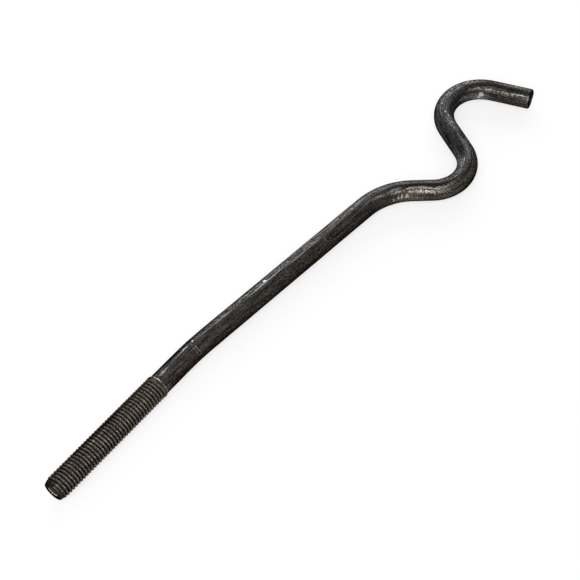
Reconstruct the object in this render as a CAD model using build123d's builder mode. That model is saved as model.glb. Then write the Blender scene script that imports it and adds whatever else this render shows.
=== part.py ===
"""Bent anchor bolt, cast into concrete: one round steel bar, threaded at one end, with an S-shaped hook.

The bolt lies flat. Its origin is the centre of the threaded end's face, +X runs along the thread
towards the hook, the hook swings out to -Y, and +Z is up. All sizes are in millimetres.
"""
import math
import os

from build123d import *

# Round bar, drawn to the pitch diameter of its thread
SHANK_DIAMETER = 14.4

# Rolled 5/8 in coarse thread, right-handed: rolling pushes the crests out past the bar and presses the roots in
THREAD_DIAMETER = 15.8
ROOT_DIAMETER = 13.0
THREAD_PITCH = 25.4 / 11
THREAD_LENGTH = 93.0
THREAD_START = 70.0  # turn round the bar where a crest meets the end, from its +Y side towards +Z
POINT_CHAMFER = 1.5  # at the end where the nut starts
SHOULDER_CHAMFER = 0.6  # where the thread runs out on the bar

# Offset bend beside the thread
THREADED_RUN = 114.4
OFFSET_ANGLE = 5.5
OFFSET_RADIUS = 236.0

# S-shaped hook: three bends, each after its straight run. Radii are to the bar's centreline.
SHANK_RUN = 149.7
KNEE_ANGLE = 44.7
KNEE_RADIUS = 48.0
KNEE_RUN = 13.4
HEEL_ANGLE = 111.0
HEEL_RADIUS = 26.5
HEEL_RUN = 22.4
CROWN_ANGLE = 130.6
CROWN_RADIUS = 28.3
TAIL_RUN = 29.0
TAIL_CHAMFER = 0.7  # edge left by the shear

# Line stamped across the bar, to which the bolt is sunk into the concrete
SETTING_LINE_DISTANCE = 127.0
SETTING_LINE_DEPTH = 0.5
SETTING_LINE_WIDTH = 1.0
SETTING_LINE_ARC = 130.0
SETTING_LINE_START = -10.0  # turn round the bar where the line starts, from its +Y side towards +Z

# How far a cutting profile or a blank stands clear of the surface that it cuts or holds
CUT_CLEARANCE = 0.2

shank_radius = SHANK_DIAMETER / 2
thread_radius = THREAD_DIAMETER / 2


def bar_bends():
    """Each bend's straight run, radius and angle, in order. A bend to the left is positive."""
    yield THREADED_RUN, OFFSET_RADIUS, -OFFSET_ANGLE
    yield SHANK_RUN, KNEE_RADIUS, -KNEE_ANGLE
    yield KNEE_RUN, HEEL_RADIUS, HEEL_ANGLE
    yield HEEL_RUN, CROWN_RADIUS, -CROWN_ANGLE


# Centreline of the bar: straight runs joined by tangent arcs
with BuildLine() as centreline:
    run_start = Vector(0, 0, 0)
    heading = Vector(1, 0, 0)
    for run, radius, angle in bar_bends():
        straight = Line(run_start, run_start + heading * run)
        bend = JernArc(start=straight @ 1, tangent=heading, radius=radius, arc_size=angle)
        run_start = bend @ 1
        heading = bend % 1
    Line(run_start, run_start + heading * TAIL_RUN)
bar_path = centreline.wire()

# Cutter of the setting line: a shallow V, swung part of the way round the bar
line_centre = bar_path.position_at(SETTING_LINE_DISTANCE, position_mode=PositionMode.LENGTH)
line_heading = bar_path.tangent_at(SETTING_LINE_DISTANCE, position_mode=PositionMode.LENGTH)
bar_axis_there = Axis(line_centre, line_heading)
left_side = Vector(0, 0, 1).cross(line_heading)
line_start_side = left_side.rotate(Axis((0, 0, 0), line_heading), SETTING_LINE_START)
with BuildPart() as setting_line_cutter:
    with BuildSketch(Plane(line_centre, x_dir=line_heading, z_dir=line_heading.cross(line_start_side))):
        Polygon(
            (-SETTING_LINE_WIDTH / 2, shank_radius + CUT_CLEARANCE),
            (SETTING_LINE_WIDTH / 2, shank_radius + CUT_CLEARANCE),
            (0, shank_radius - SETTING_LINE_DEPTH),
            align=None,
        )
    revolve(axis=bar_axis_there, revolution_arc=SETTING_LINE_ARC)



def thread_turn(diameter, turns_along):
    """One turn of the thread's helix, at so many turns from the bolt's end."""
    turn = Edge.make_helix(pitch=THREAD_PITCH, height=THREAD_PITCH, radius=diameter / 2)
    return turn.rotate(Axis.Y, 90).rotate(Axis.X, 90 + THREAD_START).moved(Pos(X=turns_along * THREAD_PITCH))


# The thread's surface: two flanks to each turn, meeting in a sharp crest and a sharp root.
# It runs past both ends of the threaded length.
turns_past_end = 2
thread_flanks = []
for turn in range(-turns_past_end, math.ceil(THREAD_LENGTH / THREAD_PITCH) + turns_past_end):
    crest = thread_turn(THREAD_DIAMETER, turn)
    root = thread_turn(ROOT_DIAMETER, turn + 1 / 2)
    next_crest = thread_turn(THREAD_DIAMETER, turn + 1)
    thread_flanks.append(Face.make_surface_from_curves(crest, root))
    thread_flanks.append(Face.make_surface_from_curves(root, next_crest))
thread_surface = Shell(Face.sew_faces(thread_flanks)[0])

# Turned blank of the threaded length, a little thicker than the crests, with its point and its shoulder.
# The thread's surface splits it, and what lies within that surface is the threaded end.
blank_radius = thread_radius + CUT_CLEARANCE
with BuildPart() as thread_blank:
    with BuildSketch(Plane.XZ):
        Polygon(
            (0, 0),
            (0, thread_radius - POINT_CHAMFER),
            (POINT_CHAMFER + CUT_CLEARANCE, blank_radius),
            (THREAD_LENGTH - SHOULDER_CHAMFER, blank_radius),
            (THREAD_LENGTH, shank_radius),
            (THREAD_LENGTH, 0),
            align=None,
        )
    revolve(axis=Axis.X)
threaded_end = thread_blank.part.split(thread_surface, keep=Keep.ALL).sort_by(SortBy.VOLUME)[-1]

with BuildPart() as anchor_bolt:
    # The bar, bent cold along its centreline and sheared off at the tail
    with BuildSketch(Plane.YZ):
        Circle(shank_radius)
    sweep(path=bar_path)
    tail_face = anchor_bolt.faces().filter_by(GeomType.PLANE).sort_by(Axis.X)[-1]
    chamfer(tail_face.edges(), TAIL_CHAMFER)
    add(setting_line_cutter.part, mode=Mode.SUBTRACT)

    # The threaded end takes the place of the bar there
    split(bisect_by=Plane(origin=(THREAD_LENGTH, 0, 0), z_dir=(1, 0, 0)))
    add(threaded_end)

os.makedirs("parts", exist_ok=True)
anchor_bolt.part.label = "anchor_bolt"
export_step(anchor_bolt.part, "parts/anchor_bolt.step")
print(f"bar length {bar_path.length:.1f} mm, volume {anchor_bolt.part.volume:.0f} mm3")
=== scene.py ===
import math

import bpy
from mathutils import Matrix, Vector, noise


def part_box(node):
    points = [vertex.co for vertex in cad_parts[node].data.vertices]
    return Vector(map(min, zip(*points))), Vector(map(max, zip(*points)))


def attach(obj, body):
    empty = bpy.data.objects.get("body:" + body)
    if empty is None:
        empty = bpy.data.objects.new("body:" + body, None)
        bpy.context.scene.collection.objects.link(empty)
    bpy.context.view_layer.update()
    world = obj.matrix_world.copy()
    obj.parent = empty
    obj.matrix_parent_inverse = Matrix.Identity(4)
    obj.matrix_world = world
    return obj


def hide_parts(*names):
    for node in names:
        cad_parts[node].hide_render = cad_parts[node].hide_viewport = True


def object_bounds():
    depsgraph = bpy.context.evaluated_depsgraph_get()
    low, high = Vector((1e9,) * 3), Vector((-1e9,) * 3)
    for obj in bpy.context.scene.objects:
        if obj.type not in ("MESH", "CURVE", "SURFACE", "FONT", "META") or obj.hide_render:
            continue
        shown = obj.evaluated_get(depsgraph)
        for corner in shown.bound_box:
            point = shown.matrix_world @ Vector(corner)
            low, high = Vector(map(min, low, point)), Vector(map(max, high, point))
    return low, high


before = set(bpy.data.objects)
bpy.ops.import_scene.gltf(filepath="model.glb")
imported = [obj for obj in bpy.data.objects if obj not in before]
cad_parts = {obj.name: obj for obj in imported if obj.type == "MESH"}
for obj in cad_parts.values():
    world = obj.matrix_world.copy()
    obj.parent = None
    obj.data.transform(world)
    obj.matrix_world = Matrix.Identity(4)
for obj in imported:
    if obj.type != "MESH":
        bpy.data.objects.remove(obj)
cad_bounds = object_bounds()

# ---------------------------------------------------------------------------------------------
# The bolt: one round bar of black steel, hot-rolled and cut to length in a shear. One end was
# rolled between dies into a coarse thread, and the rest was bent cold round pins into the long
# neck, the knee, the heel and the crown of an S-shaped hook.
# ---------------------------------------------------------------------------------------------

MM = 0.001

# The crests stop a micrometre inside the solid, so that none stands out of it
box_low, box_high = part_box("anchor_bolt")
crest_radius = min(box_high[2], -box_low[2]) / MM - 0.001
shank_radius = 7.2

# Each straight run of the bar, then the bend after it: its radius to the bar's middle, and how many
# degrees it turns to the left
bar_runs = (114.4, 149.7, 13.4, 22.4, 29.0)
bend_radii = (236.0, 48.0, 26.5, 28.3)
bend_angles = (-5.5, -44.7, 111.0, -130.6)


def bar_pieces():
    """Yield each run and bend: where it starts along the bar, its length, point, heading, curvature."""
    along = 0.0
    point = Vector((0.0, 0.0, 0.0))
    heading = 0.0
    for number, run in enumerate(bar_runs):
        yield along, run, point.copy(), heading, 0.0
        along += run
        point += Vector((math.cos(heading), math.sin(heading), 0.0)) * run
        if number == len(bend_radii):
            return
        turn = math.radians(bend_angles[number])
        radius = bend_radii[number]
        yield along, abs(turn) * radius, point.copy(), heading, math.copysign(1 / radius, turn)
        along += abs(turn) * radius
        chord = 2 * radius * math.sin(abs(turn) / 2)
        point += Vector((math.cos(heading + turn / 2), math.sin(heading + turn / 2), 0.0)) * chord
        heading += turn


bar_route = tuple(bar_pieces())
bar_length = bar_route[-1][0] + bar_route[-1][1]


def on_centreline(along):
    """The centreline's point, and its heading, at a distance along the bar."""
    for start, length, point, heading, curvature in bar_route:
        if along <= start + length:
            break
    travelled = along - start
    turn = travelled * curvature
    chord = 2 * math.sin(turn / 2) / curvature if curvature else travelled
    middle = heading + turn / 2
    return point + Vector((math.cos(middle), math.sin(middle), 0.0)) * chord, heading + turn


def smooth(value, low, high):
    """0 below low, 1 above high, and an even S-curve between them."""
    share = min(1.0, max(0.0, (value - low) / (high - low)))
    return share * share * (3 - 2 * share)


# Angles round the bar start at its left side and go over its top. Points lie in columns round it
columns = 96


def column_angle(column):
    """The angle round the bar at which a column of points lies."""
    return 2 * math.pi * column / columns


# The thread: 5/8 in coarse, 11 turns to the inch, right-handed. A crest meets the threaded end's
# face at thread_start, and the crests there are cut back to a point that widens along the bar
thread_pitch = 25.4 / 11
thread_length = 93.0
thread_start = 70.0 / 360
root_radius = 6.75
point_radius = 6.5
point_taper = 0.32
# Its groove runs out in front of a narrow plain collar, which is chamfered down to the shank
runout_turns = 0.9
collar_turns = 0.25
collar_chamfer = 1.0
# Share of a turn from the middle of a crest, share of the thread's depth there, and how bright the
# steel is there: painted shade over the crests and in the roots, and a painted highlight on the
# flanks that face the end
thread_profile = (
    (0.0, 0.0, 0.6), (0.06, 0.01, 0.55), (0.11, 0.08, 0.5), (0.25, 0.5, 0.45), (0.395, 0.92, 0.3),
    (0.45, 0.99, 0.18), (0.5, 1.0, 0.18), (0.55, 0.99, 0.3), (0.605, 0.92, 0.6), (0.69, 0.69, 1.4),
    (0.75, 0.51, 3.6), (0.83, 0.24, 3.3), (0.9, 0.06, 1.3), (0.95, 0.01, 0.8),
)
# The painted highlight on the flanks fades in between these distances from the end
flank_highlight_from = 2.0
flank_highlight_to = 5.0
# The crests are worn unevenly: at most how deep, and how close together along and round the bar
wear_depth = 0.1
wear_along = 1.3
wear_round = 4

# The setting line, stamped across the bar to show how deep the bolt is sunk into the concrete. It
# leans by a little between two angles, fades out at its tips, and has thin raised lips
setting_line_at = 126.6
setting_line_lean = 1.8
lean_from = math.radians(65.0)
lean_to = math.radians(120.0)
setting_line_depth = 0.4
setting_line_width = 0.9
setting_line_middle = math.radians(85.0)
setting_line_half_arc = math.radians(70.0)
setting_line_fade = 0.25
lip_height = 0.14
# In halves of the line's width from its middle
lip_middle = 1.5
lip_half_width = 0.7


def turn_from(angle, middle):
    """How far an angle round the bar is from another, in radians, never over half a turn."""
    return abs((angle - middle + math.pi) % (2 * math.pi) - math.pi)


def setting_line(along, angle):
    """How deep the stamped line is at a place on the bar; the lips that it raised are below zero."""
    middle = setting_line_at - setting_line_lean * smooth(angle, lean_from, lean_to)
    across = abs(along - middle) / (setting_line_width / 2)
    tip = turn_from(angle, setting_line_middle)
    fade = 1 - smooth(tip, setting_line_half_arc - setting_line_fade, setting_line_half_arc)
    if across < 1:
        return setting_line_depth * (1 - across) * fade
    return -lip_height * max(0.0, 1 - abs(across - lip_middle) / lip_half_width) * fade


# The hot-rolled bar is slightly uneven: how high its waves are, and how close together along and
# round the bar. Waves of half the height, and this much closer, lie on them
wave_height = 0.06
waves_along = 0.06
waves_round = 1.1
closer_waves = 3.1
closer_waves_from = Vector((7.0, 3.0, 1.0))


def bar_waves(along, angle):
    """How far the bar's surface stands out at a place, in millimetres."""
    place = Vector((along * waves_along, math.cos(angle) * waves_round, math.sin(angle) * waves_round))
    closer = noise.noise(place * closer_waves + closer_waves_from)
    return wave_height * noise.noise(place) + wave_height / 2 * closer


def thread_depth(along):
    """Share of the full thread depth, faded where the thread runs out on the bar."""
    runout_end = thread_length - collar_chamfer - collar_turns * thread_pitch
    return 1 - smooth(along, runout_end - runout_turns * thread_pitch, runout_end)


def bar_radius(along, angle, groove=0.0):
    """Distance from the bar's middle to its surface, with a share of the thread's depth cut away."""
    if along >= thread_length:
        return shank_radius + bar_waves(along, angle) - setting_line(along, angle)
    radius = crest_radius - groove * (crest_radius - root_radius) * thread_depth(along)
    place = Vector((along * wear_along, math.cos(angle) * wear_round, math.sin(angle) * wear_round))
    radius -= max(0.0, wear_depth * noise.noise(place)) * (1 - groove)
    point = point_radius + along * point_taper
    collar = shank_radius + (thread_length - along) / collar_chamfer * (crest_radius - shank_radius)
    return min(radius, point, collar)


# The sheared end: the blade came down on a slant, and dragged a small lip over on the left. The cut
# is torn a little, and the bar's last few stations are moved along to meet it
shear_middle = bar_length - 1.35
shear_slant = 0.95
furthest_angle = math.radians(320.0)
drag_angle = 0.0
drag_half_arc = math.radians(42.0)
drag_length = 0.44
tear_height = 0.12
tears_round = 3
tear_seed = 5.0
moved_length = 6.0
end_rounding = 0.35
rounded_length = 0.7


def sheared(along, angle):
    """Move a station near the bar's end along to the cut that the shear left."""
    drag = max(0.0, 1 - turn_from(angle, drag_angle) / drag_half_arc)
    cut = shear_middle + shear_slant * math.cos(angle - furthest_angle) + drag_length * drag
    spot = Vector((math.cos(angle) * tears_round, math.sin(angle) * tears_round, tear_seed))
    cut += tear_height * noise.noise(spot)
    return along + (cut - bar_length) * smooth(along, bar_length - moved_length, bar_length)


points = []
places = []
shades = []
known = {}


def bar_point(along, column, radius, shade=1.0, inset=0.0):
    """Add a point once, and give its number. Points of an end's face are inset from the end."""
    angle = column_angle(column)
    key = (round(along, 5), column, round(radius, 4) if inset else None)
    if key in known:
        return known[key]
    station = sheared(along, angle) + inset
    point, heading = on_centreline(min(max(station, 0.0), bar_length))
    left = Vector((-math.sin(heading), math.cos(heading), 0.0))
    across = left * math.cos(angle) + Vector((0.0, 0.0, 1.0)) * math.sin(angle)
    known[key] = len(points)
    points.append((point + across * radius) * MM)
    # The pattern of the scale runs on over the bar's ends, from the rim inwards
    beyond = math.copysign(shank_radius - radius, inset) if inset else 0.0
    places.append(Vector((station - beyond, radius * math.cos(angle), radius * math.sin(angle))) * MM)
    shades.append(shade)
    return known[key]


def bar_ring(along, cut_back=0.0):
    """The points round the bar at one station, at its surface or cut back from it."""
    ring = []
    for column in range(columns):
        ring.append(bar_point(along, column, bar_radius(along, column_angle(column)) - cut_back))
    return ring


# The thread's points run with the helix: each column is shifted along by its share of a pitch. The
# rows start a turn early and end a turn late, and points past an end of the thread are put on it
first_turn = -1
last_turn = math.ceil(thread_length / thread_pitch)
thread_rows = []
for turn in range(first_turn, last_turn + 1):
    for share, groove, shade in thread_profile:
        row = []
        for column in range(columns):
            along = (turn + share + column / columns - thread_start) * thread_pitch
            along = min(max(along, 0.0), thread_length)
            # Flanks brighter than the steel carry a painted highlight, which fades in away from the point
            flank_highlight_fade = smooth(along, flank_highlight_from, flank_highlight_to) if shade > 1 else 1.0
            shade_here = 1 + (shade - 1) * thread_depth(along) * flank_highlight_fade
            radius = bar_radius(along, column_angle(column), groove)
            row.append(bar_point(along, column, radius, shade_here))
        thread_rows.append(row)

faces = []


def add_face(corners):
    """Add a face, leaving out corners that have met, and nothing where it has closed up."""
    unique = []
    for corner in corners:
        if corner not in unique:
            unique.append(corner)
    if len(unique) > 2:
        faces.append(unique)


turn_rows = len(thread_profile)
for number in range(len(thread_rows) - 1):
    row = thread_rows[number]
    next_row = thread_rows[number + 1]
    for column in range(columns - 1):
        add_face((row[column], row[column + 1], next_row[column + 1], next_row[column]))
    # Round the bar, the last column meets the first one a whole turn further on
    if number + 1 + turn_rows < len(thread_rows):
        beside = thread_rows[number + turn_rows][0]
        next_beside = thread_rows[number + turn_rows + 1][0]
        add_face((row[-1], beside, next_beside, next_row[-1]))

# The plain bar's stations lie one step apart, and closer behind the thread, at the stamped line and
# at the sheared end: from where, to where, and the step there
plain_step = 2.0
line_centre = setting_line_at - setting_line_lean / 2
fine_stretches = (
    (thread_length, thread_length + 1.0, 0.3),
    (line_centre - 2.4, line_centre + 2.4, 0.12),
    (bar_length - 3.0, bar_length, 0.25),
)
stations = [thread_length]
while stations[-1] < bar_length:
    step = plain_step
    for fine_from, fine_to, fine_step in fine_stretches:
        if fine_from <= stations[-1] < fine_to:
            step = fine_step
    stations.append(min(stations[-1] + step, bar_length))

last_ring = bar_ring(thread_length)
for along in stations[1:]:
    ring = bar_ring(along, end_rounding * smooth(along, bar_length - rounded_length, bar_length) ** 2)
    for column in range(columns):
        following = (column + 1) % columns
        add_face((last_ring[column], last_ring[following], ring[following], ring[column]))
    last_ring = ring

# Each end's face is a set of rings: share of the rim's radius, depth, and brightness above and
# underneath. Rolling draws the skin of the bar out past its middle, so the threaded end is a shallow
# cup, off the middle by its shift; underneath, a painted shade darkens its rim and a painted
# highlight brightens its lower wall. The sheared end is flat, and darkened all over with painted shade
cupped_end = (
    (0.97, 0.01, 0.6, 0.04), (0.85, 0.05, 0.6, 0.04), (0.57, 0.1, 0.8, 0.05), (0.55, 0.13, 0.8, 9.0),
    (0.51, 0.38, 0.8, 10.0), (0.47, 0.42, 0.8, 1.3), (0.32, 0.46, 1.1, 1.4), (0.18, 0.48, 1.1, 1.4),
)
cup_shift = 0.22
cup_towards = math.radians(70.0)
sheared_end = (
    (0.93, 0.12, 0.4, 0.4), (0.8, 0.2, 0.4, 0.4), (0.6, 0.22, 0.35, 0.35), (0.4, 0.24, 0.35, 0.35),
    (0.2, 0.25, 0.35, 0.35),
)
pit_depth = 0.1
pits_round = 5
# The brightness changes from above to underneath across a line that slopes a little
underneath_slope = 0.15
underneath_from = -0.1
underneath_to = 0.4
hub_radius = 0.001


def close_end(rim, along, rim_radius, rings, inwards, shift):
    """Fill the bar's end with rings, which lie inwards along the bar (1) or against it (-1)."""
    ring = rim
    for share, depth, shade_above, shade_under in rings:
        inner = []
        for column in range(columns):
            angle = column_angle(column)
            spot = Vector((math.cos(angle), math.sin(angle), 0.0)) * share * pits_round
            spot.z = along
            inset = depth + pit_depth * abs(noise.noise(spot))
            # Underneath, the cupped end takes painted shade on its rim and a painted highlight on its wall
            lowness = underneath_slope * math.cos(angle) - math.sin(angle)
            under = smooth(lowness, underneath_from, underneath_to)
            shade = shade_above + (shade_under - shade_above) * under
            off_middle = shift * share * (1 - share) * math.cos(angle - cup_towards)
            radius = rim_radius * (share + off_middle)
            inner.append(bar_point(along, column, radius, shade, inset * inwards))
        for column in range(columns):
            following = (column + 1) % columns
            corners = (ring[column], ring[following], inner[following], inner[column])
            add_face(corners[::-1] if inwards > 0 else corners)
        ring = inner
    # The hub is as deep and as bright as the last ring
    hub = bar_point(along, 0, hub_radius, shade_above, depth * inwards)
    for column in range(columns):
        corners = (ring[column], ring[(column + 1) % columns], hub)
        add_face(corners[::-1] if inwards > 0 else corners)


close_end(bar_ring(0.0), 0.0, point_radius, cupped_end, 1, cup_shift)
close_end(last_ring, bar_length, shank_radius - end_rounding, sheared_end, -1, 0.0)

sharp_angle = math.radians(42.0)
bolt_mesh = bpy.data.meshes.new("bolt_bar")
bolt_mesh.from_pydata(points, [], faces)
bolt_mesh.validate()
bolt_mesh.shade_smooth()
bolt_mesh.set_sharp_from_angle(angle=sharp_angle)
bolt_mesh.attributes.new("bar_place", "FLOAT_VECTOR", "POINT")
bolt_mesh.attributes.new("shade", "FLOAT", "POINT")
place_values = [value for place in places for value in place]
bolt_mesh.attributes["bar_place"].data.foreach_set("vector", place_values)
bolt_mesh.attributes["shade"].data.foreach_set("value", shades)
bolt = bpy.data.objects.new("bolt_bar", bolt_mesh)
bpy.context.scene.collection.objects.link(bolt)


def linear(hex_colour):
    """An sRGB hex colour as the linear RGBA that Blender's sockets take."""
    channels = [int(hex_colour[start:start + 2], 16) / 255 for start in (0, 2, 4)]
    return (*(c / 12.92 if c <= 0.04045 else ((c + 0.055) / 1.055) ** 2.4 for c in channels), 1.0)


def add_node(tree, kind, inputs=None, **settings):
    """Add a node, give it its settings, and set or link each of its inputs."""
    node = tree.nodes.new(kind)
    for name, value in settings.items():
        setattr(node, name, value)
    for name, value in (inputs or {}).items():
        if isinstance(value, bpy.types.NodeSocket):
            tree.links.new(value, node.inputs[name])
        else:
            node.inputs[name].default_value = value
    return node


# Black steel as it leaves the rolling mill: thin grey-black scale over the metal, drawn out in fine
# lines along the bar, brown where it has begun to rust, and bright where it was rubbed. Highlights
# are painted on it as bare steel, and shade is painted into it on some sides, edges and ends. Its
# patterns lie on the bar as if it were straight, along X, so they follow the bends
black_steel = bpy.data.materials.new("black_mill_scale_steel")
black_steel.use_nodes = True
tree = black_steel.node_tree
tree.nodes.clear()
place = add_node(tree, "ShaderNodeAttribute", attribute_name="bar_place").outputs["Vector"]
shade = add_node(tree, "ShaderNodeAttribute", attribute_name="shade").outputs["Fac"]

# Mill scale is finer than this, so its grain and lines are drawn about three times as coarse to show
grain_size = 0.9 * MM
line_width = 0.9 * MM
patch_size = 9.0 * MM
rust_spot_size = 3.0 * MM
# How much each is squeezed along the bar: the lines are long, and the grain is nearly round
line_squeeze = Vector((0.06, 1.0, 1.0))
grain_squeeze = Vector((0.8, 1.0, 1.0))
# Nearly all of a noise lies between these values
noise_low = 0.3
noise_high = 0.7

lengthwise = add_node(
    tree, "ShaderNodeVectorMath", {0: place, 1: line_squeeze}, operation="MULTIPLY"
).outputs[0]
drawn_lines = add_node(
    tree, "ShaderNodeTexNoise",
    {"Vector": lengthwise, "Scale": 1 / line_width, "Detail": 1.5, "Roughness": 0.5},
).outputs["Fac"]
grain_place = add_node(
    tree, "ShaderNodeVectorMath", {0: place, 1: grain_squeeze}, operation="MULTIPLY"
).outputs[0]
scale_grain = add_node(
    tree, "ShaderNodeTexNoise",
    {"Vector": grain_place, "Scale": 1 / grain_size, "Detail": 3.0, "Roughness": 0.5},
).outputs["Fac"]
patches = add_node(
    tree, "ShaderNodeTexNoise",
    {"Vector": place, "Scale": 1 / patch_size, "Detail": 4.0, "Roughness": 0.6},
).outputs["Fac"]
rust_spots = add_node(
    tree, "ShaderNodeTexNoise",
    {"Vector": place, "Scale": 1 / rust_spot_size, "Detail": 5.0, "Roughness": 0.7},
).outputs["Fac"]

# The bar unrolled flat: along it, and round it from the top towards its right-hand side
parts = add_node(tree, "ShaderNodeSeparateXYZ", {0: place}).outputs
along_bar = parts[0]
rightwards = add_node(tree, "ShaderNodeMath", {0: parts[1], 1: -1.0}, operation="MULTIPLY").outputs[0]
turn_round = add_node(tree, "ShaderNodeMath", {0: rightwards, 1: parts[2]}, operation="ARCTAN2").outputs[0]
round_bar = add_node(
    tree, "ShaderNodeMath", {0: turn_round, 1: shank_radius * MM}, operation="MULTIPLY"
).outputs[0]
unrolled = add_node(tree, "ShaderNodeCombineXYZ", {0: along_bar, 1: round_bar}).outputs[0]
# The same with a slow wander, so that no stain on it has a ruled edge
wander_width = 0.8 * MM
wander = add_node(
    tree, "ShaderNodeMapRange",
    {
        "Value": patches, "From Min": noise_low, "From Max": noise_high,
        "To Min": -wander_width, "To Max": wander_width,
    },
).outputs["Result"]
wandering = add_node(tree, "ShaderNodeMath", {0: round_bar, 1: wander}, operation="ADD").outputs[0]
loosely_unrolled = add_node(tree, "ShaderNodeCombineXYZ", {0: along_bar, 1: wandering}).outputs[0]

# A mark is an oval, at full strength within this share of the way from its middle to its edge
full_within = 0.25


def within(marks, surface):
    """How far a point of the unrolled bar lies within the strongest of the marks that cover it."""
    strongest = None
    for along, degrees_round, half_length, half_width, strength in marks:
        scale = Vector((1 / half_length, 1 / half_width, 0.0)) / MM
        middle = Vector((along, math.radians(degrees_round) * shank_radius, 0.0)) * MM
        shift = Vector((-scale.x * middle.x, -scale.y * middle.y, 0.0))
        offset = add_node(
            tree, "ShaderNodeVectorMath", {0: surface, 1: scale, 2: shift}, operation="MULTIPLY_ADD"
        ).outputs[0]
        reach = add_node(tree, "ShaderNodeVectorMath", {0: offset}, operation="LENGTH").outputs["Value"]
        share = add_node(
            tree, "ShaderNodeMapRange",
            {"Value": reach, "From Min": 1.0, "From Max": full_within, "To Min": 0.0, "To Max": strength},
        ).outputs["Result"]
        if strongest is None:
            strongest = share
        else:
            strongest = add_node(
                tree, "ShaderNodeMath", {0: strongest, 1: share}, operation="MAXIMUM"
            ).outputs[0]
    return strongest


# Where it was rubbed, nicked or dragged to bright steel, and where highlights and glints are painted
# on as bare steel: middle of the mark along the bar, degrees round it from the top to the right, half
# its length, half its width, and how much scale is gone or how strong the painted highlight is
rubbed_and_highlit = within((
    # A painted highlight round the collar
    (92.7, 20.0, 1.0, 60.0, 0.75),
    (98.0, -7.0, 5.0, 1.6, 0.75),
    (120.0, -13.0, 6.0, 1.0, 0.85),
    (126.9, -19.0, 1.3, 1.6, 1.3),
    (191.5, -17.0, 1.9, 1.6, 1.4),
    # Along the run into the heel: mostly painted highlights in rows, and rubbed whitish marks lower down
    (296.0, 25.0, 12.0, 1.6, 0.8),
    (307.5, 76.0, 0.9, 2.0, 0.9),
    (309.0, 24.0, 13.0, 1.5, 0.75),
    (311.0, 38.0, 11.0, 1.6, 0.78),
    (311.5, 68.0, 0.9, 2.6, 1.1),
    (314.5, 63.0, 1.0, 3.0, 1.2),
    (318.5, 66.0, 2.6, 3.0, 0.95),
    (320.5, 26.0, 7.0, 1.8, 0.73),
    (322.0, 49.0, 7.0, 2.2, 0.68),
    (330.0, 24.0, 22.0, 1.8, 0.69),
    (335.0, 50.0, 24.0, 2.7, 0.7),
    (343.0, 27.0, 12.0, 2.2, 0.74),
    (374.0, -27.0, 0.9, 0.9, 1.2),
    (418.0, 13.0, 0.8, 0.8, 1.2),
    (421.5, 2.0, 0.9, 0.9, 1.2),
    (449.0, 1.0, 0.9, 0.9, 1.2),
    # A painted highlight on the tail
    (460.0, 38.0, 12.0, 2.2, 0.64),
    (464.5, 92.0, 3.0, 2.4, 0.85),
    (466.5, 73.0, 4.2, 3.4, 1.2),
    # More painted highlight on the tail, and a painted glint on the sheared end's rim
    (486.0, 41.0, 18.0, 1.0, 0.35),
    (502.2, 42.0, 0.7, 3.8, 0.95),
), loosely_unrolled)
# Scratches, thin and nearly unbroken, and painted glints on the stamped line's lips: the same
scratches_and_glints = within((
    (100.0, -7.0, 5.0, 0.5, 0.9),
    (115.0, -13.0, 9.0, 0.45, 0.9),
    # Painted glints on the lips of the stamped line
    (123.9, 32.0, 0.42, 4.6, 0.8),
    (124.8, -4.0, 0.42, 2.0, 0.6),
    (125.8, 32.0, 0.42, 4.6, 0.8),
    (146.0, -9.0, 19.0, 0.4, 0.9),
    (188.0, -6.0, 30.0, 0.4, 0.9),
    (232.0, 1.0, 32.0, 0.4, 0.7),
    (244.0, 24.0, 0.5, 3.0, 0.6),
    (285.0, 19.0, 18.0, 0.5, 0.7),
    (496.0, 38.0, 6.0, 0.4, 0.8),
), unrolled)
# Where the steel is lighter: the same
lightened = within((
    (45.0, 41.0, 60.0, 3.2, 0.6),
    (45.0, -12.0, 60.0, 2.4, 0.35),
    (130.0, 42.0, 45.0, 2.6, 0.25),
    (200.0, 33.0, 110.0, 7.0, 0.1),
    (225.0, -40.0, 50.0, 3.0, 0.6),
    (352.0, 44.0, 18.0, 3.4, 0.7),
    (374.0, -54.0, 12.0, 3.4, 0.8),
    (398.0, 72.0, 18.0, 2.6, 0.3),
    (466.0, 94.0, 9.0, 6.0, 1.0),
), loosely_unrolled)
# Where it is darker, in places from thick black scale and mostly from painted shade along the
# outlines, in the stamped line's groove and on the lower sides: the same
thick_scale_and_shade = within((
    (45.0, -42.0, 66.0, 4.2, 1.0),
    (45.0, 76.0, 66.0, 4.4, 0.4),
    (110.0, -38.0, 24.0, 4.2, 0.95),
    (123.4, -52.0, 2.2, 3.0, 1.0),
    (124.9, 34.0, 0.5, 4.5, 0.8),
    (145.0, -30.0, 28.0, 4.2, 0.5),
    (235.0, -17.0, 50.0, 1.6, 0.4),
    (297.0, 71.0, 20.0, 4.0, 0.4),
    (331.0, 6.0, 26.0, 2.0, 0.75),
    (352.0, -30.0, 16.0, 4.0, 0.3),
    (362.0, 90.0, 24.0, 6.6, 0.85),
    (364.0, 16.0, 7.0, 2.6, 0.3),
    (366.0, -30.0, 8.0, 3.2, 0.35),
    (382.0, -37.0, 9.0, 3.4, 0.6),
    (402.0, -66.0, 22.0, 4.6, 0.75),
    (438.0, 92.0, 14.0, 6.6, 0.7),
    (482.0, 17.0, 30.0, 3.8, 0.75),
    (488.0, 66.0, 22.0, 3.6, 0.45),
    (488.0, 88.0, 20.0, 7.0, 0.75),
    (490.0, -32.0, 16.0, 3.0, 0.5),
), loosely_unrolled)
# Where it is red-brown: the same
reddish = within((
    (112.0, 37.0, 13.0, 3.2, 0.45),
    (331.0, 4.0, 30.0, 1.8, 0.6),
    (364.0, 16.0, 8.0, 2.6, 0.5),
), loosely_unrolled)
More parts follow.
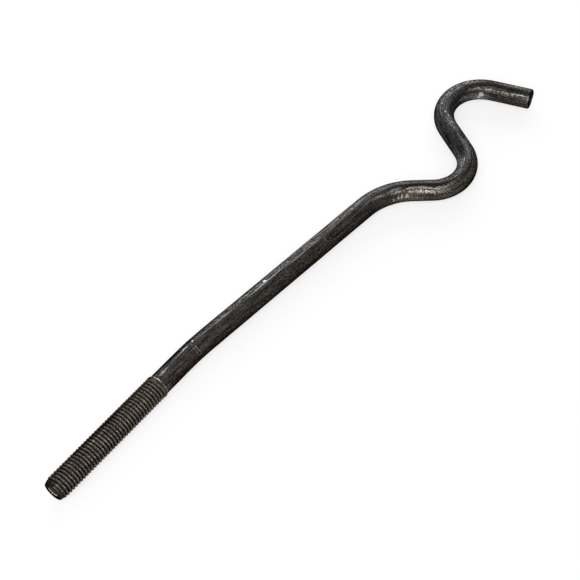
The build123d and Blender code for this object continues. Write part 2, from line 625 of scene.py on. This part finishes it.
# Where it is golden brown: the same
golden = within((
    (325.0, 48.0, 40.0, 7.0, 1.0),
    (360.0, 64.0, 20.0, 5.0, 0.6),
), loosely_unrolled)

# The scale is brown-black with rusty spots. It is plain grey-black to the left of the bar's top,
# except on the thread, and in the hook, and partly brown again in the hook's tail
behind_thread = (thread_length, thread_length + 6.0)
into_hook = (350.0, 385.0)
into_tail = (450.0, 470.0)
rust_share = add_node(
    tree, "ShaderNodeMapRange",
    {"Value": rust_spots, "From Min": 0.5, "From Max": 0.62, "To Max": 0.65},
).outputs["Result"]
left_of_top = add_node(
    tree, "ShaderNodeMapRange", {"Value": wandering, "From Min": 1.5 * MM, "From Max": -0.5 * MM}
).outputs["Result"]
off_thread = add_node(
    tree, "ShaderNodeMapRange",
    {"Value": along_bar, "From Min": behind_thread[0] * MM, "From Max": behind_thread[1] * MM},
).outputs["Result"]
grey_side = add_node(
    tree, "ShaderNodeMath", {0: left_of_top, 1: off_thread}, operation="MULTIPLY"
).outputs[0]
in_hook = add_node(
    tree, "ShaderNodeMapRange",
    {"Value": along_bar, "From Min": into_hook[0] * MM, "From Max": into_hook[1] * MM},
).outputs["Result"]
off_tail = add_node(
    tree, "ShaderNodeMapRange",
    {"Value": along_bar, "From Min": into_tail[1] * MM, "From Max": into_tail[0] * MM, "To Min": 0.3},
).outputs["Result"]
grey_hook = add_node(tree, "ShaderNodeMath", {0: in_hook, 1: off_tail}, operation="MULTIPLY").outputs[0]
grey_share = add_node(tree, "ShaderNodeMath", {0: grey_side, 1: grey_hook}, operation="MAXIMUM").outputs[0]

# A colour mix has its two colours in sockets 6 and 7 and its result in output 2
rusty_colour = add_node(
    tree, "ShaderNodeMix", {0: rust_share, 6: linear("4e4a45"), 7: linear("4d403a")}, data_type="RGBA"
).outputs[2]
grey_colour = add_node(
    tree, "ShaderNodeMix", {0: grey_share, 6: rusty_colour, 7: linear("4b4a4a")}, data_type="RGBA"
).outputs[2]
golden_colour = add_node(
    tree, "ShaderNodeMix", {0: golden, 6: grey_colour, 7: linear("524c43")}, data_type="RGBA"
).outputs[2]
scale_colour = add_node(
    tree, "ShaderNodeMix", {0: reddish, 6: golden_colour, 7: linear("4c3836")}, data_type="RGBA"
).outputs[2]

line_tone = add_node(
    tree, "ShaderNodeMapRange",
    {"Value": drawn_lines, "From Min": noise_low, "From Max": noise_high, "To Min": 0.3, "To Max": 1.7},
).outputs["Result"]
# Raised to a power, the grain is mostly dark, with some far brighter spots, as crystals of scale are
grain_power = 2.6
grain_gain = 6.8
grain_level = add_node(
    tree, "ShaderNodeMath", {0: scale_grain, 1: grain_power}, operation="POWER"
).outputs[0]
bright_grain = add_node(
    tree, "ShaderNodeMath", {0: grain_level, 1: grain_gain}, operation="MULTIPLY"
).outputs[0]
# On the thread's flanks with the painted highlight, the grain is evened out
highlit_flank_share = add_node(
    tree, "ShaderNodeMapRange", {"Value": shade, "From Min": 1.0, "From Max": 3.0, "To Max": 0.5}
).outputs["Result"]
grain_tone = add_node(tree, "ShaderNodeMix", {0: highlit_flank_share, 2: bright_grain, 3: 1.0}).outputs[0]
patch_tone = add_node(
    tree, "ShaderNodeMapRange",
    {"Value": patches, "From Min": noise_low, "From Max": noise_high, "To Min": 0.88, "To Max": 1.12},
).outputs["Result"]
lightened_tone = add_node(
    tree, "ShaderNodeMapRange", {"Value": lightened, "To Min": 1.0, "To Max": 2.2}
).outputs["Result"]
scale_and_shade_tone = add_node(
    tree, "ShaderNodeMapRange", {"Value": thick_scale_and_shade, "To Min": 1.0, "To Max": 0.2}
).outputs["Result"]

# Painted shade darkens the straight shank low on its right-hand side, most this far below the level,
# and it is even again where the shank ends
painted_shade_drop = math.radians(55.0)
end_of_shank = (285.0, 315.0)
towards_painted_shade = Vector((0.0, -math.cos(painted_shade_drop), -math.sin(painted_shade_drop)))
painted_shade_side = add_node(
    tree, "ShaderNodeVectorMath", {0: place, 1: towards_painted_shade / (shank_radius * MM)},
    operation="DOT_PRODUCT",
).outputs["Value"]
on_painted_shade_side = add_node(
    tree, "ShaderNodeMapRange", {"Value": painted_shade_side, "From Min": -0.2, "From Max": 0.15}
).outputs["Result"]
off_hook = add_node(
    tree, "ShaderNodeMapRange",
    {"Value": along_bar, "From Min": end_of_shank[1] * MM, "From Max": end_of_shank[0] * MM},
).outputs["Result"]
painted_shade_behind_thread = add_node(
    tree, "ShaderNodeMath", {0: on_painted_shade_side, 1: off_thread}, operation="MULTIPLY"
).outputs[0]
painted_shade_share = add_node(
    tree, "ShaderNodeMath", {0: painted_shade_behind_thread, 1: off_hook}, operation="MULTIPLY"
).outputs[0]
painted_shade_tone = add_node(
    tree, "ShaderNodeMapRange", {"Value": painted_shade_share, "To Min": 1.0, "To Max": 0.33}
).outputs["Result"]

tone = shade
for part_tone in (line_tone, grain_tone, patch_tone, lightened_tone, scale_and_shade_tone, painted_shade_tone):
    tone = add_node(tree, "ShaderNodeMath", {0: tone, 1: part_tone}, operation="MULTIPLY").outputs[0]
scaled_steel = add_node(
    tree, "ShaderNodeVectorMath", {0: scale_colour, 3: tone}, operation="SCALE"
).outputs[0]

# Bare metal shows through a rub mark grain by grain and along a scratch in dashes. The painted
# highlights and glints among them, and the painted highlight on the lower wall of the threaded end's
# cup, show as bare metal the same way
grain_break = 0.32
broken = add_node(
    tree, "ShaderNodeMapRange",
    {
        "Value": scale_grain, "From Min": noise_low, "From Max": noise_high,
        "To Min": -grain_break, "To Max": grain_break,
    },
).outputs["Result"]
rub_and_highlight_grain = add_node(tree, "ShaderNodeMath", {0: rubbed_and_highlit, 1: broken}, operation="ADD").outputs[0]
bare_rubs_and_highlights = add_node(
    tree, "ShaderNodeMapRange", {"Value": rub_and_highlight_grain, "From Min": 0.45, "From Max": 0.95}
).outputs["Result"]
dashes = add_node(
    tree, "ShaderNodeMapRange", {"Value": drawn_lines, "From Min": 0.35, "From Max": 0.6, "To Min": 0.3}
).outputs["Result"]
bare_scratches_and_glints = add_node(
    tree, "ShaderNodeMath", {0: scratches_and_glints, 1: dashes}, operation="MULTIPLY"
).outputs[0]
cup_painted_highlight = add_node(
    tree, "ShaderNodeMapRange", {"Value": shade, "From Min": 5.0, "From Max": 9.0}
).outputs["Result"]
cup_highlight_bare = add_node(tree, "ShaderNodeMath", {0: cup_painted_highlight, 1: dashes}, operation="MULTIPLY").outputs[0]
bare_and_highlight_share = bare_rubs_and_highlights
for bare_part in (bare_scratches_and_glints, cup_highlight_bare):
    bare_and_highlight_share = add_node(
        tree, "ShaderNodeMath", {0: bare_and_highlight_share, 1: bare_part}, operation="MAXIMUM"
    ).outputs[0]
steel_colour = add_node(
    tree, "ShaderNodeMix", {0: bare_and_highlight_share, 6: scaled_steel, 7: linear("c4c2be")}, data_type="RGBA"
).outputs[2]

# The bright grains are the smooth ones. The thread's flanks with the painted highlight are matt
grain_roughness = add_node(
    tree, "ShaderNodeMapRange",
    {"Value": scale_grain, "From Min": noise_low, "From Max": noise_high, "To Min": 0.55, "To Max": 0.32},
).outputs["Result"]
matt_roughness = 0.75
matt_share = add_node(
    tree, "ShaderNodeMapRange", {"Value": shade, "From Min": 1.0, "From Max": 2.0}
).outputs["Result"]
steel_roughness = add_node(
    tree, "ShaderNodeMix", {0: matt_share, 2: grain_roughness, 3: matt_roughness}
).outputs[0]
relief = add_node(tree, "ShaderNodeMath", {0: drawn_lines, 1: scale_grain}, operation="ADD").outputs[0]
relief_height = 0.15 * MM
steel_bump = add_node(
    tree, "ShaderNodeBump", {"Height": relief, "Strength": 0.8, "Distance": relief_height}
).outputs["Normal"]
# The tint keeps the steel dark towards its outline, where clean metal would shine
steel_shader = add_node(
    tree, "ShaderNodeBsdfPrincipled",
    {
        "Base Color": steel_colour, "Metallic": 1.0, "Roughness": steel_roughness,
        "Normal": steel_bump, "Specular Tint": linear("808080"),
    },
)
add_node(tree, "ShaderNodeOutputMaterial", {"Surface": steel_shader.outputs["BSDF"]})
bolt_mesh.materials.append(black_steel)

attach(bolt, "root")
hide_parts("anchor_bolt")

# ---------------------------------------------------------------------------------------------
# The table top: a plain white board that the bolt lies on. It is lit a little beyond white, and
# keeps the soft shadow under the bar.
# ---------------------------------------------------------------------------------------------

# In metres: it runs on past the edges of the view
half_table = 6.0
table_height = cad_bounds[0][2]
table_corners = [
    (side_x * half_table, side_y * half_table, table_height)
    for side_x, side_y in ((-1, -1), (1, -1), (1, 1), (-1, 1))
]
table_mesh = bpy.data.meshes.new("table_top")
table_mesh.from_pydata(table_corners, [], [(0, 1, 2, 3)])
table_top = bpy.data.objects.new("table_top", table_mesh)
bpy.context.scene.collection.objects.link(table_top)

# White laminate: the eye sees even white with a faint shadow, and so do the steel's reflections. Part
# of its white is lit by the lamps and takes the shadow, and the rest is a glow that lights nothing
board_glow = 0.72
white_board = bpy.data.materials.new("white_laminate_board")
white_board.use_nodes = True
tree = white_board.node_tree
tree.nodes.clear()
rays = add_node(tree, "ShaderNodeLightPath").outputs
seen = rays["Is Camera Ray"]
for kind_of_ray in ("Is Glossy Ray", "Is Transmission Ray"):
    seen = add_node(
        tree, "ShaderNodeMath", {0: seen, 1: rays[kind_of_ray]}, operation="MAXIMUM"
    ).outputs[0]
glow = add_node(tree, "ShaderNodeMath", {0: seen, 1: board_glow}, operation="MULTIPLY").outputs[0]
lit = add_node(tree, "ShaderNodeBsdfDiffuse", {"Color": linear("9c9c9c")}).outputs["BSDF"]
glowing = add_node(
    tree, "ShaderNodeEmission", {"Color": linear("ffffff"), "Strength": glow}
).outputs["Emission"]
board = add_node(tree, "ShaderNodeAddShader", {0: lit, 1: glowing}).outputs["Shader"]
add_node(tree, "ShaderNodeOutputMaterial", {"Surface": board})
table_mesh.materials.append(white_board)

# ---------------------------------------------------------------------------------------------
# The studio: pale walls all round, one wide soft box behind the bolt, and one in front of it. They
# light the bolt evenly, at a level at which its colours look about as they are.
# ---------------------------------------------------------------------------------------------

walls_level = 0.27
world = bpy.data.worlds.new("pale_studio")
bpy.context.scene.world = world
world.use_nodes = True
walls = world.node_tree.nodes["Background"]
walls.inputs["Color"].default_value = linear("ffffff")
walls.inputs["Strength"].default_value = walls_level

# The lamps and the camera point here, near the middle of the bolt, in metres
view_target = Vector((0.19998, -0.01841, 0.0))


def add_soft_box(name, azimuth, elevation, distance, width, height, radiance):
    """A rectangle of even light that faces the bolt, as bright as its radiance, where 1 is white."""
    lamp = bpy.data.lights.new(name, "AREA")
    lamp.shape = "RECTANGLE"
    lamp.size = width
    lamp.size_y = height
    lamp.energy = radiance * math.pi * width * height
    box = bpy.data.objects.new(name, lamp)
    azimuth = math.radians(azimuth)
    elevation = math.radians(elevation)
    level = Vector((math.cos(azimuth), math.sin(azimuth), 0.0)) * math.cos(elevation)
    towards = level + Vector((0.0, 0.0, math.sin(elevation)))
    box.location = view_target + towards * distance
    box.rotation_euler = towards.to_track_quat("Z", "Y").to_euler()
    box.visible_camera = False
    bpy.context.scene.collection.objects.link(box)


add_soft_box(
    "soft_box_behind", azimuth=35.0, elevation=20.0, distance=1.6, width=1.8, height=0.9, radiance=3.4
)
add_soft_box(
    "soft_box_in_front", azimuth=204.0, elevation=52.0, distance=1.6, width=1.2, height=1.3, radiance=3.6
)

# The camera stands at the thread's side of the bolt and looks down on it, a little tilted
camera_distance = 0.89211
camera_turn = math.radians(-52.653)
camera_elevation = math.radians(52.763)
camera_tilt = math.radians(0.471)
camera_data = bpy.data.cameras.new("studio_camera")
camera_data.sensor_width = 36.0
camera_data.lens = 86.27
camera_data.clip_start = 0.05
camera_data.clip_end = 50.0
camera = bpy.data.objects.new("studio_camera", camera_data)
turned = Matrix.Rotation(camera_turn, 4, "Z")
turned = turned @ Matrix.Rotation(math.pi / 2 - camera_elevation, 4, "X")
turned = turned @ Matrix.Rotation(camera_tilt, 4, "Z")
camera_place = view_target + turned @ Vector((0.0, 0.0, camera_distance))
camera.matrix_world = Matrix.Translation(camera_place) @ turned
bpy.context.scene.collection.objects.link(camera)
bpy.context.scene.camera = camera
bpy.context.scene.view_settings.view_transform = "Standard"
